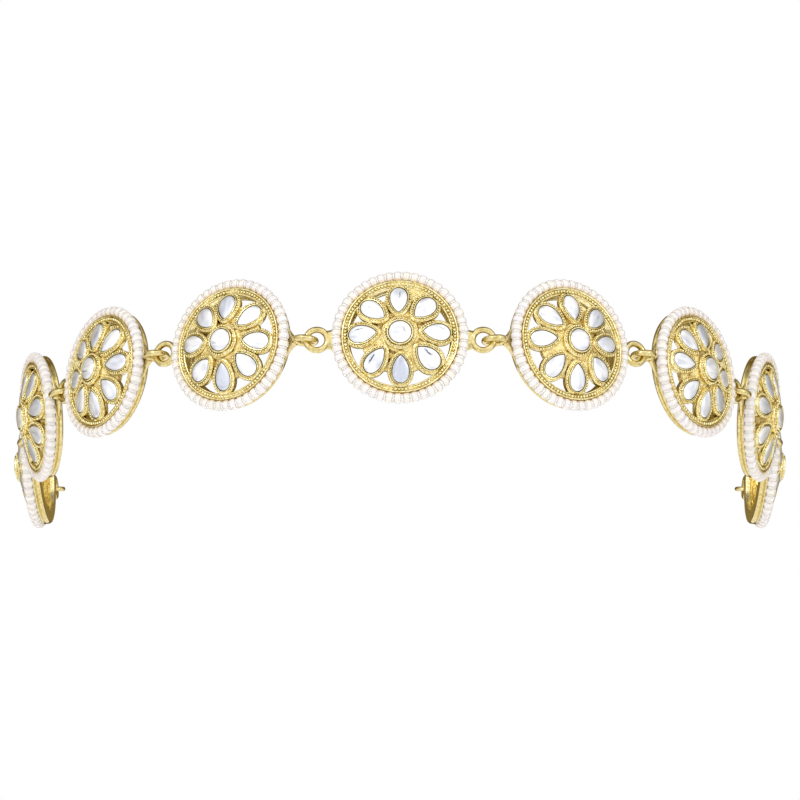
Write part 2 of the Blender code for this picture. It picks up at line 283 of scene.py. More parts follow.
# The white room that the metal and stones mirror, and where it is dimmer: towards the sides, straight
# up, down and behind the band. Each dimming starts at one value of its direction and is full at another.
WHITE = "#FFFFFF"
Dimming = namedtuple("Dimming", "direction start full colour")
ROOM_DIMMINGS = (
    Dimming("sideways", 0.62, 0.90, "#DCDEE4"),
    Dimming("upwards", 0.94, 0.98, "#808080"),
    Dimming("upwards", -0.20, -0.45, "#8A8880"),
    Dimming("backwards", -0.15, 0.5, "#74643A"),
)

# A greyer panel low in front of the band, which the stones mirror
GREY_PANEL = "#DADDE6"
GREY_PANEL_SIDE = {"From Min": 0.38, "From Max": 0.26}
GREY_PANEL_TOP = {"From Min": 0.34, "From Max": 0.22}

# What lights the matte surfaces: the same room, white and a little dimmer behind the band
DIM_BEHIND = "#B2B0AE"
DIM_BEHIND_REACH = {"From Min": -0.2, "From Max": 0.6}
ROOM_STRENGTH = 1.25
BACKDROP_STRENGTH = 1.0

# Places of the metal's finishes in each setting's list; the last is dull, dark metal that paints shade in the
# seams round the stones
BURNISHED, GRANULATED, PLAIN, SHADED_SEAM = 0, 1, 2, 3


def linear(colour):
    """An sRGB hex colour as linear red, green, blue and alpha."""
    shares = [int(colour[start:start + 2], 16) / 255.0 for start in (1, 3, 5)]
    return (*[s / 12.92 if s <= 0.04045 else ((s + 0.055) / 1.055) ** 2.4 for s in shares], 1.0)


def add_node(tree, kind, settings=None, links=None):
    """A shader node with its settings, by property or socket, and the outputs that feed its sockets."""
    node = tree.nodes.new(f"ShaderNode{kind}")
    for name, value in (settings or {}).items():
        if isinstance(name, str) and hasattr(node, name):
            setattr(node, name, value)
        else:
            node.inputs[name].default_value = value
    for name, source in (links or {}).items():
        tree.links.new(source, node.inputs[name])
    return node


def new_finish(name):
    """A material, its empty node tree and its object coordinates."""
    material = bpy.data.materials.new(name)
    material.use_nodes = True
    tree = material.node_tree
    tree.nodes.clear()
    place = add_node(tree, "TexCoord").outputs["Object"]
    return material, tree, place


def gilt(name, pale, deep, painted_shade_colour, roughness, grain):
    """Gold plate over cast brass: a sandy, blotched surface, with painted shade that darkens its seams and
    hollows.
    """
    material, tree, place = new_finish(name)
    sand = add_node(tree, "TexNoise", {"Scale": 1.0 / SAND_GRAIN, "Detail": 3.0}, {"Vector": place})
    blotch = add_node(tree, "MapRange", {"From Min": 0.36, "From Max": 0.6}, {"Value": sand.outputs["Fac"]})
    tone = add_node(tree, "Mix", {"data_type": "RGBA", 6: linear(deep), 7: linear(pale)},
                    {"Factor": blotch.outputs["Result"]})
    # Painted shade: ambient occlusion mixes a dark colour into seams and hollows
    recess_shade = add_node(tree, "AmbientOcclusion", {"samples": AO_SAMPLES, "Distance": PAINTED_SHADE_REACH})
    depth = add_node(tree, "MapRange", {"From Min": 0.1, "From Max": 0.62}, {"Value": recess_shade.outputs["AO"]})
    colour = add_node(tree, "Mix", {"data_type": "RGBA", 6: linear(painted_shade_colour)},
                      {"Factor": depth.outputs["Result"], 7: tone.outputs[2]})
    bump = add_node(tree, "Bump", {"Strength": grain, "Distance": SAND_RELIEF},
                    {"Height": sand.outputs["Fac"]})
    shader = add_node(tree, "BsdfPrincipled", {"Metallic": 1.0, "Roughness": roughness},
                      {"Base Color": colour.outputs[2], "Normal": bump.outputs["Normal"]})
    add_node(tree, "OutputMaterial", None, {"Surface": shader.outputs["BSDF"]})
    return material


def burnished_gilt():
    """The edges and beads that the burnisher has touched: pale, bright gold with darker specks, and painted
    shade in its seams and hollows.
    """
    return gilt("burnished_gilt", "#FFF6C6", "#E0C672", "#806A2A", 0.19, 0.4)


def plain_gilt():
    """Loops, roots and the ring's side as they came from the gilding: smooth, mirror-like, deeper gold, with
    deep painted shade in its hollows.
    """
    return gilt("plain_gilt", "#E8D8A0", "#D0BA72", "#4E3C12", 0.06, 0.03)


def painted_shade_seam():
    """Gilt brass in the narrow seams round the stones and in the ring's inner groove, dull and mottled dark:
    painted shade.
    """
    material, tree, place = new_finish("painted_shade_seam")
    blotch = add_node(tree, "TexNoise", {"Scale": 1.0 / SHADE_MOTTLE, "Detail": 2.0}, {"Vector": place})
    spread = add_node(tree, "MapRange", {"From Min": 0.4, "From Max": 0.6}, {"Value": blotch.outputs["Fac"]})
    colour = add_node(tree, "Mix", {"data_type": "RGBA", 6: linear("#6E5E28"), 7: linear("#D2C080")},
                      {"Factor": spread.outputs["Result"]})
    shader = add_node(tree, "BsdfPrincipled", {"Metallic": 0.6, "Roughness": 0.45},
                      {"Base Color": colour.outputs[2]})
    add_node(tree, "OutputMaterial", None, {"Surface": shader.outputs["BSDF"]})
    return material


def granulated_gilt():
    """Gold plate over rough-cast brass: small glittering grains, and painted shade that makes their hollows
    deep yellow.
    """
    material, tree, place = new_finish("granulated_gilt")
    # Painted shade: ambient occlusion mixes a dark brown-yellow into the hollows between the grains
    recess_shade = add_node(tree, "AmbientOcclusion", {"samples": AO_SAMPLES, "Distance": CAST_PAINTED_SHADE_REACH})
    depth = add_node(tree, "MapRange", {"From Min": 0.15, "From Max": 0.8}, {"Value": recess_shade.outputs["AO"]})
    colour = add_node(tree, "Mix", {"data_type": "RGBA", 6: linear("#84621C"), 7: linear("#F8E4A2")},
                      {"Factor": depth.outputs["Result"]})
    grains = add_node(tree, "TexVoronoi", {"Scale": 1.0 / CAST_GRAIN}, {"Vector": place})
    bump = add_node(tree, "Bump", {"Strength": 0.9, "Distance": CAST_RELIEF, "invert": True},
                    {"Height": grains.outputs["Distance"]})
    shader = add_node(tree, "BsdfPrincipled", {"Metallic": 1.0, "Roughness": 0.26},
                      {"Base Color": colour.outputs[2], "Normal": bump.outputs["Normal"]})
    add_node(tree, "OutputMaterial", None, {"Surface": shader.outputs["BSDF"]})
    return material


def silvered_stone():
    """Clear glass with a silvered back: clouded bright foil, a dark crease along it, a painted reflection of
    the gold with shade round its edge, and a glossy top.
    """
    material, tree, place = new_finish("silvered_stone")
    cloud = add_node(tree, "TexNoise", {"Scale": 1.0 / FOIL_CLOUD, "Detail": 1.0}, {"Vector": place})
    spread = add_node(tree, "MapRange", {"From Min": 0.34, "From Max": 0.58}, {"Value": cloud.outputs["Fac"]})
    bright = add_node(tree, "Mix", {"data_type": "RGBA", 6: linear("#E0E2EA"), 7: linear("#FEFEFE")},
                      {"Factor": spread.outputs["Result"]})
    greyed = add_node(tree, "Attribute", {"attribute_name": "foil_tone"})
    foil = add_node(tree, "Mix", {"data_type": "RGBA", 7: linear("#CDD2DE")},
                    {"Factor": greyed.outputs["Fac"], 6: bright.outputs[2]})
    own = add_node(tree, "Attribute", {"attribute_name": "foil_place"})
    stretched = add_node(tree, "Mapping", {"vector_type": "POINT", "Scale": (0.32, 1.15, 1.0)},
                         {"Vector": own.outputs["Vector"]})
    fold = add_node(tree, "TexNoise", {"Scale": 1.0, "Detail": 0.0, "Distortion": 0.4},
                    {"Vector": stretched.outputs["Vector"]})
    shade = add_node(tree, "MapRange", {"From Min": 0.5, "From Max": 0.7, "To Max": 0.2},
                     {"Value": fold.outputs["Fac"]})
    line = add_node(tree, "Attribute", {"attribute_name": "foil_crease"})
    split = add_node(tree, "SeparateXYZ", None, {"Vector": line.outputs["Vector"]})
    ragged = add_node(tree, "TexNoise", {"Scale": 0.9, "Detail": 2.0}, {"Vector": own.outputs["Vector"]})
    bend = add_node(tree, "MapRange", {"From Min": 0.3, "From Max": 0.7, "To Min": -0.7, "To Max": 0.7},
                    {"Value": ragged.outputs["Fac"]})
    across = add_node(tree, "Math", {"operation": "ADD"},
                      {0: split.outputs["Y"], 1: bend.outputs["Result"]})
    shares = []
    for measure in (split.outputs["X"], across.outputs["Value"]):
        away = add_node(tree, "Math", {"operation": "ABSOLUTE"}, {0: measure})
        shares.append(add_node(tree, "MapRange", {"From Min": 1.0, "From Max": 0.3},
                               {"Value": away.outputs["Value"]}).outputs["Result"])
    inside = add_node(tree, "Math", {"operation": "MULTIPLY"}, {0: shares[0], 1: shares[1]})
    crease = add_node(tree, "Math", {"operation": "MULTIPLY"},
                      {0: inside.outputs["Value"], 1: split.outputs["Z"]})
    dark = add_node(tree, "Math", {"operation": "MAXIMUM"},
                    {0: crease.outputs["Value"], 1: shade.outputs["Result"]})
    colour = add_node(tree, "Mix", {"data_type": "RGBA", 7: linear("#40465A")},
                      {"Factor": dark.outputs["Value"], 6: foil.outputs[2]})
    # Painted reflection of the gold setting, with shade, round the stone's edge
    edge = add_node(tree, "Attribute", {"attribute_name": "painted_rim_reflection"})
    rimmed = add_node(tree, "Mix", {"data_type": "RGBA", 7: linear("#9C9058")},
                      {"Factor": edge.outputs["Fac"], 6: colour.outputs[2]})
    bump = add_node(tree, "Bump", {"Strength": 0.08, "Distance": FOIL_RELIEF},
                    {"Height": cloud.outputs["Fac"]})
    shader = add_node(tree, "BsdfPrincipled",
                      {"Metallic": 0.4, "Roughness": 0.22, "Coat Weight": 1.0, "Coat Roughness": 0.02},
                      {"Base Color": rimmed.outputs[2], "Normal": bump.outputs["Normal"]})
    add_node(tree, "OutputMaterial", None, {"Surface": shader.outputs["BSDF"]})
    return material


def pearl_lustre():
    """Cream glass seed pearls: a soft lustre, each with its own tint, and a painted peach glow of light
    thrown back from the gold beside them.
    """
    material, tree, place = new_finish("pearl_lustre")
    tone = add_node(tree, "Attribute", {"attribute_name": "pearl_tone"})
    body = add_node(tree, "Mix", {"data_type": "RGBA", 6: linear("#FAE6D2"), 7: linear("#F6E0E2")},
                    {"Factor": tone.outputs["Fac"]})
    bloom = add_node(tree, "TexNoise", {"Scale": 1.0 / PEARL_BLOOM, "Detail": 1.0}, {"Vector": place})
    nacre = add_node(tree, "Mix", {"data_type": "RGBA", 7: linear("#F8F0E8")},
                     {"Factor": bloom.outputs["Fac"], 6: body.outputs[2]})
    # Painted light: peach glow from the gold on the pearls' inner side
    inwards = add_node(tree, "Attribute", {"attribute_name": "painted_gold_glow"})
    gold_glow = add_node(tree, "MapRange", {"From Min": 0.1, "From Max": 0.9}, {"Value": inwards.outputs["Fac"]})
    colour = add_node(tree, "Mix", {"data_type": "RGBA", 7: linear("#F5CFA0")},
                      {"Factor": gold_glow.outputs["Result"], 6: nacre.outputs[2]})
    shader = add_node(tree, "BsdfPrincipled",
                      {"Roughness": 0.3, "Coat Weight": 0.6, "Coat Roughness": 0.06, "Subsurface Weight": 0.6,
                       "Subsurface Radius": (1.0, 0.85, 0.7), "Subsurface Scale": PEARL_SCATTER},
                      {"Base Color": colour.outputs[2]})
    add_node(tree, "OutputMaterial", None, {"Surface": shader.outputs["BSDF"]})
    return material


def white_paper():
    """Matte white studio paper with faint fibres, lit until it loses its edge."""
    material, tree, place = new_finish("white_paper")
    fibre = add_node(tree, "TexNoise", {"Scale": 40.0, "Detail": 2.0}, {"Vector": place})
    colour = add_node(tree, "Mix", {"data_type": "RGBA", 6: linear("#FAFAFA"), 7: linear(WHITE)},
                      {"Factor": fibre.outputs["Fac"]})
    shader = add_node(tree, "BsdfPrincipled",
                      {"Roughness": 1.0, "Specular IOR Level": 0.0, "Emission Color": linear(WHITE),
                       "Emission Strength": 0.1},
                      {"Base Color": colour.outputs[2]})
    add_node(tree, "OutputMaterial", None, {"Surface": shader.outputs["BSDF"]})
    return material


def standing(turn, tilt, roll, side):
    """A medallion's turn in space: X along the band away from the front, Z out of its face."""
    turn, tilt, roll = math.radians(turn), math.radians(tilt), math.radians(roll)
    face = Vector((side * math.sin(turn) * math.cos(tilt), -math.cos(turn) * math.cos(tilt),
                   math.sin(tilt)))
    level = Vector((side * math.cos(turn), math.sin(turn), 0.0))
    across = side * face.cross(level)
    along = level * math.cos(roll) - across * math.sin(roll)
    return Matrix((along, face.cross(along), face)).transposed()


def band_places():
    """The place of every medallion and hair hook, by name, each hooked to the one before."""
    places = {"front": standing(0.0, FRONT_TILT, 0.0, 1).to_4x4()}
    to_pivot = Vector((PIVOT_RADIUS, 0.0, LOOP_LEVEL))
    from_pivot = Vector((PIVOT_RADIUS, 0.0, -LOOP_LEVEL))
    for word, side in SIDES.items():
        turn = standing(0.0, FRONT_TILT, 0.0, side)
        spot = Vector((0.0, 0.0, 0.0))
        for number, station in enumerate(SIDE_STATIONS, start=1):
            pivot = spot + turn @ to_pivot
            turn = standing(*station, side)
            spot = pivot + turn @ from_pivot
            places[f"{word}_{number}"] = Matrix.Translation(spot) @ turn.to_4x4()
        hook_turn = standing(HOOK_TURN, 0.0, 0.0, side)
        places[f"{word}_hair_hook"] = Matrix.Translation(spot + turn @ to_pivot) @ hook_turn.to_4x4()
    return places


def skin(columns, rows, place, finishes=(BURNISHED,)):
    """A grid of faces wrapped round into a closed skin, its points set by place(turn, row).

    The finishes are those of the first rows of faces, and the last one goes on to the end.
    """
    shape = bmesh.new()
    grid = bmesh.ops.create_grid(shape, x_segments=columns, y_segments=rows, size=1.0)["verts"]
    for face in shape.faces:
        row = int(0.5 * (face.calc_center_median().y + 1.0) * rows)
        face.material_index = finishes[min(row, len(finishes) - 1)]
    for vertex in grid:
        turn = 0.5 * (vertex.co.x + 1.0)
        row = round(0.5 * (vertex.co.y + 1.0) * rows)
        vertex.co = place(0.0 if turn > 1.0 - 0.5 / columns else turn, row)
    bmesh.ops.remove_doubles(shape, verts=grid, dist=MERGE_DISTANCE)
    return shape


def turned(section, steps):
    """A closed section of (radius, height) corners, rounded and turned round Z."""
    shape = bmesh.new()
    corners = [shape.verts.new((radius * MM, 0.0, height * MM)) for radius, height in section]
    for pair in zip(corners, corners[1:] + corners[:1]):
        shape.edges.new(pair)
    bmesh.ops.bevel(shape, geom=corners, offset=SECTION_ROUNDING, offset_type="OFFSET", segments=2,
                    profile=0.5, affect="VERTICES", material=-1)
    bmesh.ops.spin(shape, geom=shape.verts[:] + shape.edges[:], axis=(0.0, 0.0, 1.0), cent=(0.0, 0.0, 0.0),
                   angle=math.tau, steps=steps, use_merge=True)
    for face in shape.faces:
        middle = face.calc_center_median()
        radius = math.hypot(middle.x, middle.y)
        # The ring's inner groove gets the dark finish of painted shade
        if GROOVE_INNER < radius < GROOVE_OUTER and 0.0 < middle.z < GROOVE_TOP:
            face.material_index = SHADED_SEAM
        elif middle.z < BACK_FACE_LEVEL:
            face.material_index = GRANULATED
        elif middle.z < RING_FACE_LEVEL and radius > FLANGE_OUTER:
            face.material_index = PLAIN
    return shape


def as_mesh(name, shape):
    """A shape made a mesh."""
    mesh = bpy.data.meshes.new(name)
    shape.to_mesh(mesh)
    shape.free()
    return mesh


def add_parts(shape, *parts):
    """Add finished parts to a shape."""
    for part in parts:
        bmesh.ops.recalc_face_normals(part, faces=part.faces)
        mesh = as_mesh("part", part)
        shape.from_mesh(mesh)
        bpy.data.meshes.remove(mesh)


def beads(places, radius, chance):
    """Small beads of metal, a little uneven, that are worn down along some stretches."""
    one = bmesh.new()
    bmesh.ops.create_uvsphere(one, u_segments=BEAD_COLUMNS, v_segments=BEAD_ROWS, radius=radius)
    pattern = as_mesh("bead", one)
    shape = bmesh.new()
    elsewhere = Vector((chance.uniform(0.0, WEAR_FIELD), 0.0, 0.0))
    for place in places:
        worn = min(max(noise.noise(place / WEAR_STRETCH + elsewhere) / WEAR_SPREAD, 0.0), 1.0)
        lift = Vector((0.0, 0.0, (chance.uniform(-BEAD_LIFT, BEAD_LIFT) - WEAR_DEPTH * worn) * radius))
        bead = pattern.copy()
        bead.transform(Matrix.Translation(place + lift) @ Matrix.Scale(chance.uniform(*BEAD_SIZES), 4))
        shape.from_mesh(bead)
        bpy.data.meshes.remove(bead)
    bpy.data.meshes.remove(pattern)
    return shape


def ring_places(radius, level, pitch):
    """Places at an even pitch round the medallion's axis."""
    count = round(math.tau * radius / pitch)
    angles = [index * math.tau / count for index in range(count)]
    return [Vector((radius * math.cos(angle), radius * math.sin(angle), level)) for angle in angles]


def pear_outline(angle):
    """A point on the pear-shaped outline, whose own point is at angle 0 on the -X side."""
    peak = (1.0 + PEAR_SHARPNESS) / (2.0 + PEAR_SHARPNESS)
    widest = 2.0 * math.sqrt(peak * (1.0 - peak)) * peak ** (0.5 * PEAR_SHARPNESS)
    width = 0.5 * STONE_WIDTH * math.sin(angle) * abs(math.sin(0.5 * angle)) ** PEAR_SHARPNESS / widest
    return Vector((-0.5 * STONE_LENGTH * math.cos(angle), width, 0.0))


def pear_point(angle, outset):
    """A point at a distance outside the pear-shaped outline."""
    nudge = 0.001
    along = pear_outline(angle + nudge) - pear_outline(angle - nudge)
    return pear_outline(angle) + outset * Vector((-along.y, along.x, 0.0)).normalized()


def petals_of(name, seed):
    """The place of each collet on the dome, a little uneven, and how far its stone's foil has greyed."""
    chance = random.Random(seed)
    settings = FRONT_PETALS
    if name != "front":
        settings = [Petal(angle=index * 360.0 / PETAL_COUNT + chance.uniform(-PETAL_SWING, PETAL_SWING),
                          radius=PETAL_RADIUS / MM + chance.uniform(-PETAL_SHIFT, PETAL_SHIFT),
                          twist=chance.uniform(-PETAL_TWIST, PETAL_TWIST),
                          long=chance.uniform(*PETAL_LENGTHS), wide=chance.uniform(*PETAL_WIDTHS),
                          greyed=chance.random() ** GREYED_RARITY)
                    for index in range(PETAL_COUNT)]
    petals = []
    for angle, radius, twist, long, wide, greyed in settings:
        around = Matrix.Rotation(math.radians(angle), 4, "Z")
        out = Matrix.Translation((radius * MM, 0.0, PETAL_HEIGHT))
        lean = Matrix.Rotation(PETAL_TILT, 4, "Y") @ Matrix.Rotation(math.radians(twist), 4, "Z")
        petals.append((around @ out @ lean @ Matrix.Diagonal((long, wide, 1.0, 1.0)), greyed))
    return petals


def collet(place):
    """A pear-shaped collet: thin inner rim, ledge for the beads, outer wall and closed foot."""
    last = len(COLLET_SECTION)

    def point(turn, row):
        outset, height = COLLET_SECTION[min(row, last - 1)]
        flat = pear_point(turn * math.tau, outset * MM) if row < last else Vector((0.0, 0.0, 0.0))
        spot = place @ (flat + Vector((0.0, 0.0, height * MM)))
        held = min(1.0, COLLET_REACH / math.hypot(spot.x, spot.y))
        return Vector((spot.x * held, spot.y * held, spot.z))
    # The rows beside the stone get the dark finish of painted shade
    finishes = (SHADED_SEAM,) * SEAM_ROWS + (BURNISHED,) * (COLLET_WALL_ROW - SEAM_ROWS) + (PLAIN,)
    return skin(PEAR_POINTS, last, point, finishes)


def milgrain_places(place):
    """Places at an even pitch round the collet's ledge."""
    samples = 360
    track = [pear_point(step * math.tau / samples, MILGRAIN_OUTSET) for step in range(samples)]
    lengths = [(b - a).length for a, b in zip(track, track[1:] + track[:1])]
    pitch = sum(lengths) / round(sum(lengths) / GRAIN_PITCH)
    passed, places = 0.0, []
    for point, length in zip(track, lengths):
        if passed // pitch != (passed + length) // pitch:
            spot = place @ (point + Vector((0.0, 0.0, MILGRAIN_LEVEL)))
            if math.hypot(spot.x, spot.y) < COLLET_REACH - GRAIN_BEAD:
                places.append(spot)
        passed += length
    return places


def grains(place, seed):
    """Height of the rough granules at a place."""
    elsewhere = Vector((0.0, 0.0, GRANULE_FIELD * seed))
    return GRANULE_HEIGHT * (0.5 - noise.voronoi(place / GRANULE + elsewhere)[0][0])


def plate_top(radius, angle, depths):
    """Height of the plate's smooth top, with a pit between each two collets."""
    slope = (PLATE_TOP_CENTRE - PLATE_TOP_EDGE) / (PLATE_RADIUS - PLATE_TOP_FLAT)
    height = PLATE_TOP_CENTRE - slope * max(radius - PLATE_TOP_FLAT, 0.0)
    step = math.tau / PETAL_COUNT
    off_middle = (angle % step) - 0.5 * step
    along, across = radius * math.cos(off_middle), abs(radius * math.sin(off_middle))
    wall = min(along - PIT_START, PIT_HALF_WIDTH * (PIT_END - along) / (PIT_END - PIT_START) - across)
    sunk = min(max(wall / PIT_EDGE, 0.0), 1.0)
    return height - depths[int(angle / step) % PETAL_COUNT] * sunk * sunk * (3.0 - 2.0 * sunk)


def plate(name, seed):
    """The domed plate between the collets, closed underneath, its pits more or less clogged."""
    chance = random.Random(seed)
    shares = FRONT_PITS if name == "front" else [chance.uniform(*PIT_SHARES) for _ in range(PETAL_COUNT)]
    depths = [PIT_DEPTH * share for share in shares]
    slope = (PLATE_TOP_CENTRE - PLATE_TOP_EDGE) / PLATE_RADIUS

    def point(turn, row):
        angle = turn * math.tau
        if row <= PLATE_ROWS:
            radius = PLATE_RADIUS * row / PLATE_ROWS
            place = Vector((radius * math.cos(angle), radius * math.sin(angle), 0.0))
            height = plate_top(radius, angle, depths) + grains(place, seed)
        else:
            radius = PLATE_RADIUS * (1.0 - (row - PLATE_ROWS - 1) / (PLATE_UNDER_ROWS - 1))
            place = Vector((radius * math.cos(angle), radius * math.sin(angle), 0.0))
            height = PLATE_TOP_CENTRE - PLATE_THICKNESS - slope * radius
        return place + Vector((0.0, 0.0, height))
    return skin(PLATE_COLUMNS, PLATE_ROWS + PLATE_UNDER_ROWS, point, (GRANULATED,))


def patch(seed):
    """Granulated metal that fills one gap between two collets and the bezel."""
    middle = 0.5 * (PATCH_INNER + PATCH_OUTER)

    def point(turn, row):
        swing = (min(max(row, 1), PATCH_ROWS - 1) - 1) / (PATCH_ROWS - 2)
        angle = PATCH_ANGLE + PATCH_HALF_SPREAD * (2.0 * swing - 1.0)
        on_top = turn <= PATCH_TOP_SHARE
        out = turn / PATCH_TOP_SHARE if on_top else (1.0 - turn) / (1.0 - PATCH_TOP_SHARE)
        radius = PATCH_INNER + out * (PATCH_OUTER - PATCH_INNER)
        height = PATCH_INNER_TOP + out * (PATCH_OUTER_TOP - PATCH_INNER_TOP)
        if row in (0, PATCH_ROWS):
            radius, height = middle, 0.5 * (PATCH_INNER_TOP + PATCH_OUTER_TOP) - 0.5 * PLATE_THICKNESS
        elif not on_top:
            height -= PLATE_THICKNESS
        place = Vector((radius * math.cos(angle), radius * math.sin(angle), 0.0))
        rough = grains(place, seed) if on_top else 0.0
        return place + Vector((0.0, 0.0, height + rough))
    return skin(PATCH_COLUMNS, PATCH_ROWS, point, (GRANULATED,))


def loop(side, upright):
    """A closed ring of round wire, flat or standing square to the medallion."""
    reach_in = LOOP_RADIUS - LOOP_WIRE_RADIUS - 0.5 * LINK_SLACK
    centre = Vector((side * (PIVOT_RADIUS - reach_in), 0.0, LOOP_LEVEL))

    def point(turn, row):
        angle, around = turn * math.tau, row * math.tau / LOOP_ROWS
        reach = LOOP_RADIUS + LOOP_WIRE_RADIUS * math.cos(around)
        lift = LOOP_WIRE_RADIUS * math.sin(around)
        if upright:
            return centre + Vector((reach * math.cos(angle), -lift, reach * math.sin(angle)))
        return centre + Vector((reach * math.cos(angle), reach * math.sin(angle), lift))
    return skin(LOOP_COLUMNS, LOOP_ROWS, point, (PLAIN,))


def root(side, upright):
    """The smooth flare that joins a loop to the ring."""
    half_foot, half_tip = [0.5 * width for width in (UPRIGHT_ROOT_WIDTHS if upright else FLAT_ROOT_WIDTHS)]

    def point(turn, row):
        share = min(max((row - 1) / (ROOT_ROWS - 2), 0.0), 1.0)
        x = side * (ROOT_START + share * (ROOT_END - ROOT_START))
        if row in (0, ROOT_ROWS):
            return Vector((x, 0.0, LOOP_LEVEL))
        half_width = half_tip + (half_foot - half_tip) * (1.0 - share) ** ROOT_FLARE
        angle = turn * math.tau
        return Vector((x, half_width * math.cos(angle), LOOP_LEVEL + 0.5 * ROOT_THICKNESS * math.sin(angle)))
    return skin(ROOT_COLUMNS, ROOT_ROWS, point, (PLAIN,))


def creases_of(name, seed):
    """The crease in the foil under each pear-shaped stone and the round one."""
    if name == "front":
        return FRONT_CREASES
    chance = random.Random(seed)
    return [Crease(x=chance.uniform(*CREASE_X_RANGE), y=chance.uniform(*CREASE_Y_RANGE),
                   angle=chance.uniform(-CREASE_ANGLE, CREASE_ANGLE),
                   half_length=chance.uniform(*CREASE_HALF_LENGTHS),
                   darkness=CREASE_DARKEST * chance.random() ** 2) for _ in range(PETAL_COUNT + 1)]


def domed_stone(outline, dome, place, number, greyed, crease):
    """A smooth stone of shrinking rings, which notes where each point lies on its foil and crease, and where
    the painted reflection of the gold goes.
    """
    last = len(dome)
    cosine, sine = math.cos(math.radians(crease.angle)), math.sin(math.radians(crease.angle))

    def point(turn, row):
        share, height = dome[row] if row < last else (0.0, dome[-1][1] + CROWN_RISE)
        return outline(turn * math.tau) * share + Vector((0.0, 0.0, height * MM))
    shape = skin(PEAR_POINTS, last, point)
    own = shape.verts.layers.float_vector.new("foil_place")
    line = shape.verts.layers.float_vector.new("foil_crease")
    tone = shape.verts.layers.float.new("foil_tone")
    rim = shape.verts.layers.float.new("painted_rim_reflection")
    for vertex in shape.verts:
        vertex[tone] = greyed
        # Painted reflection of the gold: full below the crown, fading across its edge
        vertex[rim] = 1.0 if vertex.co.z < 0.0 else 0.0
        x, y = vertex.co.x / MM, vertex.co.y / MM
        vertex[own] = (x, y, FOIL_STEP * number)
        along = (x - crease.x) * cosine + (y - crease.y) * sine
        across = (y - crease.y) * cosine - (x - crease.x) * sine
        vertex[line] = (along / crease.half_length, across / CREASE_HALF_WIDTH, crease.darkness)
        vertex.co = place @ vertex.co
    return shape


def finished_piece(name, shape, place, materials, node):
    """A mesh object at the origin, its place in its mesh, that stands for a node of the band."""
    bmesh.ops.transform(shape, matrix=place, verts=shape.verts)
    mesh = as_mesh(name, shape)
    for material in materials:
        mesh.materials.append(material)
    mesh.shade_smooth()
    mesh.set_sharp_from_angle(angle=SHARP_ANGLE)
    piece = bpy.data.objects.new(name, mesh)
    bpy.context.scene.collection.objects.link(piece)
    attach(piece, "root")
    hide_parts(node)


def metalwork(name, place, loops, seed, finishes):
    """The soldered setting: ring, bezel, beaded edges, plate, collets and loops."""
    chance = random.Random(seed)
    shape = bmesh.new()
    add_parts(shape, turned(RING_SECTION, RING_STEPS), turned(ROUND_BEZEL_SECTION, RING_STEPS // 2),
              plate(name, seed))
    rope = ring_places(ROPE_RADIUS, ROPE_LEVEL, ROPE_PITCH)
    round_grain = ring_places(ROUND_GRAIN_RADIUS, ROUND_GRAIN_LEVEL, GRAIN_PITCH)
    add_parts(shape, beads(rope, ROPE_BEAD, chance), beads(round_grain, GRAIN_BEAD, chance))
    for petal, _ in petals_of(name, seed):
        add_parts(shape, collet(petal), beads(milgrain_places(petal), GRAIN_BEAD, chance))
    for side, upright in loops.items():
        add_parts(shape, loop(side, upright), root(side, upright))
    if name == "front":
        add_parts(shape, patch(seed))
    finished_piece(f"{name}_metalwork", shape, place, finishes, f"{name}_setting")


def stones(name, place, seed, finish):
    """The eight pear-shaped stones and the round one, each sitting a little askew."""
    chance = random.Random(seed)
    shape = bmesh.new()

    def askew():
        lean = math.radians(chance.uniform(-STONE_LEAN, STONE_LEAN))
        return Matrix.Rotation(lean, 4, (chance.random(), chance.random(), LEAN_AXIS_RISE))

    def pear(angle):
        return pear_point(angle, -STONE_GAP)

    def circle(angle):
        return ROUND_STONE_RADIUS * Vector((math.cos(angle), math.sin(angle), 0.0))
    creases = creases_of(name, seed)
    first = (PETAL_COUNT + 1) * seed
    for index, (petal, greyed) in enumerate(petals_of(name, seed)):
        add_parts(shape, domed_stone(pear, STONE_DOME, petal @ askew(), first + index, greyed,
                                     creases[index]))
    seat = Matrix.Translation((0.0, 0.0, ROUND_STONE_LEVEL)) @ askew()
    add_parts(shape, domed_stone(circle, ROUND_DOME, seat, first + PETAL_COUNT, 0.0, creases[-1]))
    finished_piece(f"{name}_stones", shape, place, [finish], f"{name}_centre_stone")


def one_pearl():
    """One pearl, its string hole along Z, rounder than a barrel and flatter than a ball at its ends."""
    shape = bmesh.new()
    gold_glow = shape.verts.layers.float.new("painted_gold_glow")
    shape.verts.layers.float.new("pearl_tone")
    bmesh.ops.create_uvsphere(shape, u_segments=PEARL_COLUMNS, v_segments=PEARL_ROWS, radius=1.0)
    for vertex in shape.verts:
        reach = math.hypot(vertex.co.x, vertex.co.y)
        swell = PEARL_RADIUS * reach ** (PEARL_SQUARENESS - 1.0) if reach > 0.01 else 0.0
        along = PEARL_HALF_WIDTH * math.copysign(abs(vertex.co.z) ** PEARL_SQUARENESS, vertex.co.z)
        # Painted glow from the gold, strongest on the side that faces it
        vertex[gold_glow] = max(-vertex.co.x, 0.0)
        vertex.co = (vertex.co.x * swell, vertex.co.y * swell, along)
    return as_mesh("pearl", shape)


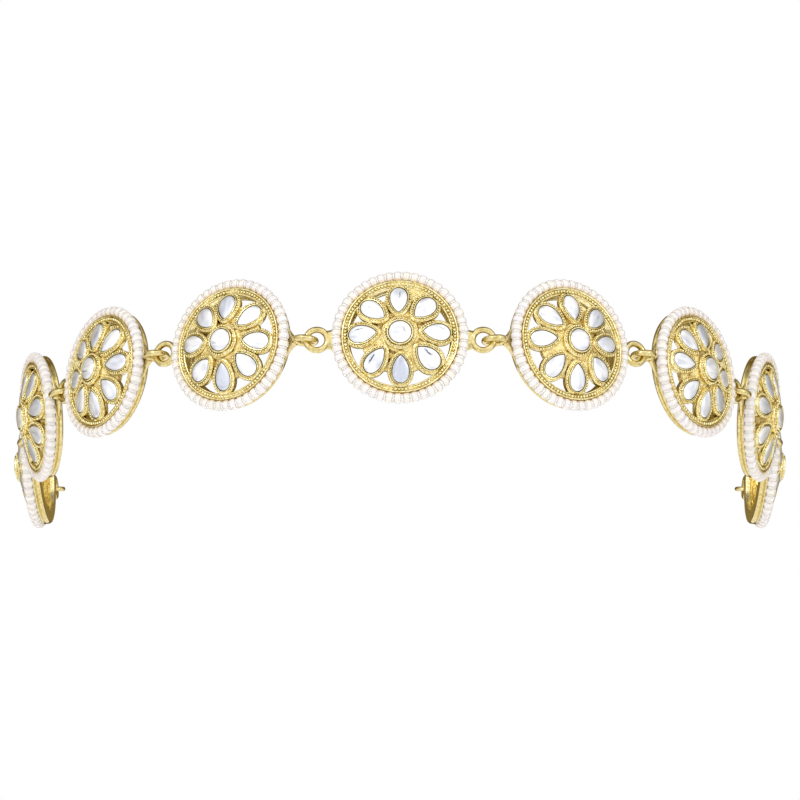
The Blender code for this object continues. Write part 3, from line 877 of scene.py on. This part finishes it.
def pearl_core():
    """The strung pearls' drilled middles, one ring that closes the gaps between them."""

    def point(turn, row):
        angle, around = turn * math.tau, row * math.tau / CORE_ROWS
        reach = PEARL_LINE + CORE_SHARE * PEARL_RADIUS * math.cos(around)
        lift = PEARL_LEVEL + CORE_SHARE * PEARL_RADIUS * math.sin(around)
        return Vector((reach * math.cos(angle), reach * math.sin(angle), lift))
    shape = skin(CORE_COLUMNS, CORE_ROWS, point)
    # Painted glow from the gold on the inner side of the core
    gold_glow = shape.verts.layers.float.new("painted_gold_glow")
    for vertex in shape.verts:
        inwards = PEARL_LINE - math.hypot(vertex.co.x, vertex.co.y)
        vertex[gold_glow] = max(inwards, 0.0) / PEARL_RADIUS
    return shape


def pearls(name, place, seed, finish):
    """The seed pearls on their string, side by side in the cove of the ring."""
    chance = random.Random(seed)
    pattern = one_pearl()
    out = Matrix.Translation((PEARL_LINE, 0.0, PEARL_LEVEL)) @ Matrix.Rotation(math.radians(90.0), 4, "X")
    shape = bmesh.new()
    for index in range(PEARL_COUNT):
        share = (index + chance.uniform(-PEARL_SWING, PEARL_SWING)) / PEARL_COUNT
        around = Matrix.Rotation(share * math.tau, 4, "Z")
        width = chance.uniform(*PEARL_SIZES)
        pearl = pattern.copy()
        pearl.transform(around @ out @ Matrix.Diagonal((width, width, 1.0, 1.0)))
        pearl.attributes["pearl_tone"].data.foreach_set("value", [chance.random()] * len(pearl.vertices))
        shape.from_mesh(pearl)
        bpy.data.meshes.remove(pearl)
    bpy.data.meshes.remove(pattern)
    add_parts(shape, pearl_core())
    finished_piece(f"{name}_pearls", shape, place, [finish], f"{name}_pearl_ring")


def hair_hook(name, place, side, finish):
    """One bent wire: an eye, a shaft on its outer side and a bend that turns up."""
    centre = HOOK_EYE_RADIUS - HOOK_WIRE_RADIUS - 0.5 * LINK_SLACK
    path = []
    for step in range(HOOK_EYE_STEPS + 1):
        angle = math.radians(HOOK_EYE_START + step * HOOK_EYE_SWEEP / HOOK_EYE_STEPS)
        path.append((centre + HOOK_EYE_RADIUS * math.cos(angle), 0.0, -HOOK_EYE_RADIUS * math.sin(angle)))
    for step in range(HOOK_BEND_STEPS + 1):
        angle = math.radians(-90.0 + step * 180.0 / HOOK_BEND_STEPS)
        path.append((centre + HOOK_SHAFT + HOOK_BEND_RADIUS * math.cos(angle),
                     side * HOOK_BEND_RADIUS * (1.0 + math.sin(angle)), HOOK_EYE_RADIUS))
    path.append((centre + HOOK_SHAFT - HOOK_RETURN, side * 2.0 * HOOK_BEND_RADIUS, HOOK_EYE_RADIUS))
    curve = bpy.data.curves.new(name, "CURVE")
    curve.dimensions = "3D"
    curve.bevel_depth = HOOK_WIRE_RADIUS
    curve.bevel_resolution = HOOK_WIRE_ROUNDNESS
    curve.use_fill_caps = True
    spline = curve.splines.new("POLY")
    spline.points.add(len(path) - 1)
    for point, spot in zip(spline.points, path):
        point.co = (*(place @ Vector(spot)), 1.0)
    curve.materials.append(finish)
    piece = bpy.data.objects.new(f"{name}_wire", curve)
    bpy.context.scene.collection.objects.link(piece)
    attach(piece, "root")
    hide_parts(name)


def add_light(lamp):
    """A soft square light that faces the band."""
    light = bpy.data.lights.new(lamp.name, "AREA")
    light.energy = lamp.power
    light.size = lamp.size
    holder = bpy.data.objects.new(lamp.name, light)
    holder.location = lamp.place
    holder.rotation_euler = (-Vector(lamp.place)).to_track_quat("-Z", "Y").to_euler()
    bpy.context.scene.collection.objects.link(holder)


def white_surroundings():
    """A white room: what the metal and stones mirror, what lights the pearls, and a white backdrop."""
    world = bpy.data.worlds.new("white_surroundings")
    world.use_nodes = True
    tree = world.node_tree
    tree.nodes.clear()
    direction = add_node(tree, "TexCoord").outputs["Generated"]
    split = add_node(tree, "SeparateXYZ", None, {"Vector": direction})
    sideways = add_node(tree, "Math", {"operation": "ABSOLUTE"}, {0: split.outputs["X"]})
    ways = {"sideways": sideways.outputs["Value"], "upwards": split.outputs["Z"],
            "backwards": split.outputs["Y"]}
    mirrored = None
    for dimming in ROOM_DIMMINGS:
        share = add_node(tree, "MapRange", {"From Min": dimming.start, "From Max": dimming.full},
                         {"Value": ways[dimming.direction]})
        links = {"Factor": share.outputs["Result"]}
        if mirrored is not None:
            links[6] = mirrored
        mirrored = add_node(tree, "Mix", {"data_type": "RGBA", 6: linear(WHITE), 7: linear(dimming.colour)},
                            links).outputs[2]
    beside = add_node(tree, "MapRange", GREY_PANEL_SIDE, {"Value": ways["sideways"]})
    below = add_node(tree, "MapRange", GREY_PANEL_TOP, {"Value": ways["upwards"]})
    front = add_node(tree, "Math", {"operation": "LESS_THAN", 1: 0.0}, {0: ways["backwards"]})
    low = add_node(tree, "Math", {"operation": "MULTIPLY"},
                   {0: beside.outputs["Result"], 1: below.outputs["Result"]})
    panel = add_node(tree, "Math", {"operation": "MULTIPLY"},
                     {0: low.outputs["Value"], 1: front.outputs["Value"]})
    mirrored = add_node(tree, "Mix", {"data_type": "RGBA", 7: linear(GREY_PANEL)},
                        {"Factor": panel.outputs["Value"], 6: mirrored}).outputs[2]
    behind = add_node(tree, "MapRange", DIM_BEHIND_REACH, {"Value": ways["backwards"]})
    soft = add_node(tree, "Mix", {"data_type": "RGBA", 6: linear(WHITE), 7: linear(DIM_BEHIND)},
                    {"Factor": behind.outputs["Result"]})
    rays = add_node(tree, "LightPath").outputs
    lit = add_node(tree, "Mix", {"data_type": "RGBA"},
                   {"Factor": rays["Is Glossy Ray"], 6: soft.outputs[2], 7: mirrored})
    colour = add_node(tree, "Mix", {"data_type": "RGBA", 7: linear(WHITE)},
                      {"Factor": rays["Is Camera Ray"], 6: lit.outputs[2]})
    power = add_node(tree, "MapRange", {"To Min": ROOM_STRENGTH, "To Max": BACKDROP_STRENGTH},
                     {"Value": rays["Is Camera Ray"]})
    light = add_node(tree, "Background", None,
                     {"Color": colour.outputs[2], "Strength": power.outputs["Result"]})
    add_node(tree, "OutputWorld", None, {"Surface": light.outputs["Background"]})
    bpy.context.scene.world = world


def studio():
    """Pale floor, white surroundings and two lights, with colours shown as they are."""
    shape = bmesh.new()
    bmesh.ops.create_circle(shape, cap_ends=True, segments=FLOOR_SEGMENTS, radius=FLOOR_RADIUS)
    bmesh.ops.translate(shape, verts=shape.verts, vec=(0.0, 0.0, FLOOR_LEVEL))
    mesh = as_mesh("floor", shape)
    mesh.materials.append(white_paper())
    floor = bpy.data.objects.new("floor", mesh)
    bpy.context.scene.collection.objects.link(floor)
    white_surroundings()
    for lamp in LAMPS:
        add_light(lamp)
    bpy.context.scene.view_settings.view_transform = "Standard"


def camera():
    """The camera, level and straight on."""
    eye = bpy.data.objects.new("camera", bpy.data.cameras.new("camera"))
    eye.data.lens = CAMERA_LENS
    eye.data.sensor_width = SENSOR_WIDTH
    eye.location = CAMERA_PLACE
    eye.rotation_euler = (math.radians(90.0), 0.0, 0.0)
    bpy.context.scene.collection.objects.link(eye)
    bpy.context.scene.camera = eye


camera()
studio()
metal_finishes = [burnished_gilt(), granulated_gilt(), plain_gilt(), painted_shade_seam()]
stone_finish = silvered_stone()
pearl_finish = pearl_lustre()
for number, (name, place) in enumerate(band_places().items()):
    if name.endswith("hook"):
        hair_hook(name, place, SIDES[name.split("_")[0]], metal_finishes[PLAIN])
    else:
        # side of each loop, +1 away from the front, and whether it stands upright
        loops = {1: False, -1: name != "front"}
        metalwork(name, place, loops, number, metal_finishes)
        stones(name, place, number, stone_finish)
        pearls(name, place, number, pearl_finish)
